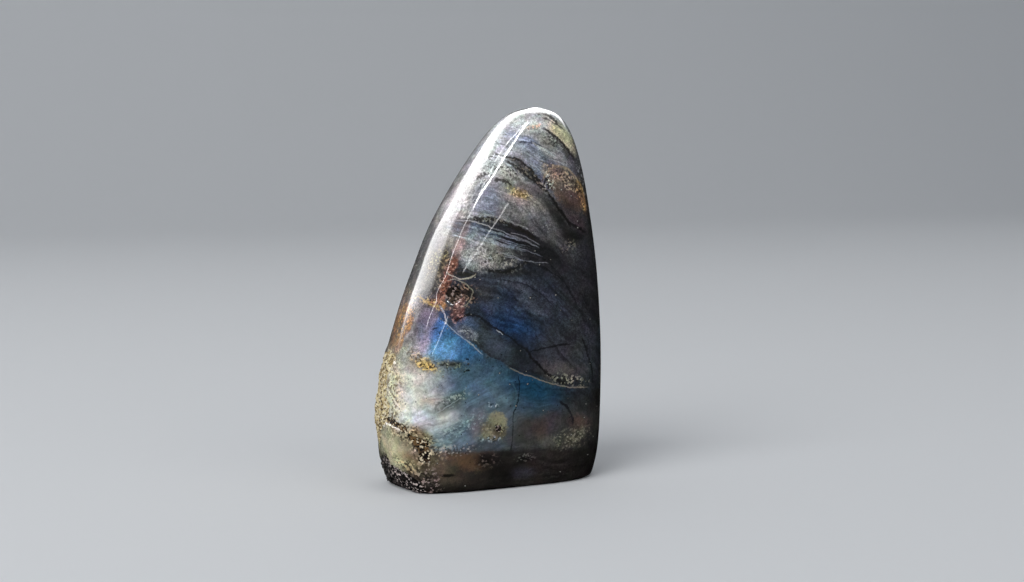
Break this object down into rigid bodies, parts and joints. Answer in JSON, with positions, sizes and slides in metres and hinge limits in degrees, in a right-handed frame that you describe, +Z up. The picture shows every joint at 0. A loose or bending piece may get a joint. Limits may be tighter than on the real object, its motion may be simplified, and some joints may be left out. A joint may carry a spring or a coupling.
{
  "type": "labradorite freeform",
  "caption": "Polished freeform of dark feldspar with blue flashes that stands on a flat sawn base, with a raw crust on its left flank and a broken foot corner.",
  "frame": {"origin": "on the base plane, in the middle of the stone's bounding box seen from above", "axes": "+Z up towards the tip, -Y out of the broad polished face, +X to the right seen from the front"},
  "size_m": [0.0698, 0.0412, 0.113],
  "materials": {
    "polished_labradorite": "hand polished, raw on the crust and the broken corner"
  },
  "bodies": {
    "root": {"labradorite_stone": "polished_labradorite"}
  },
  "joints": []
}
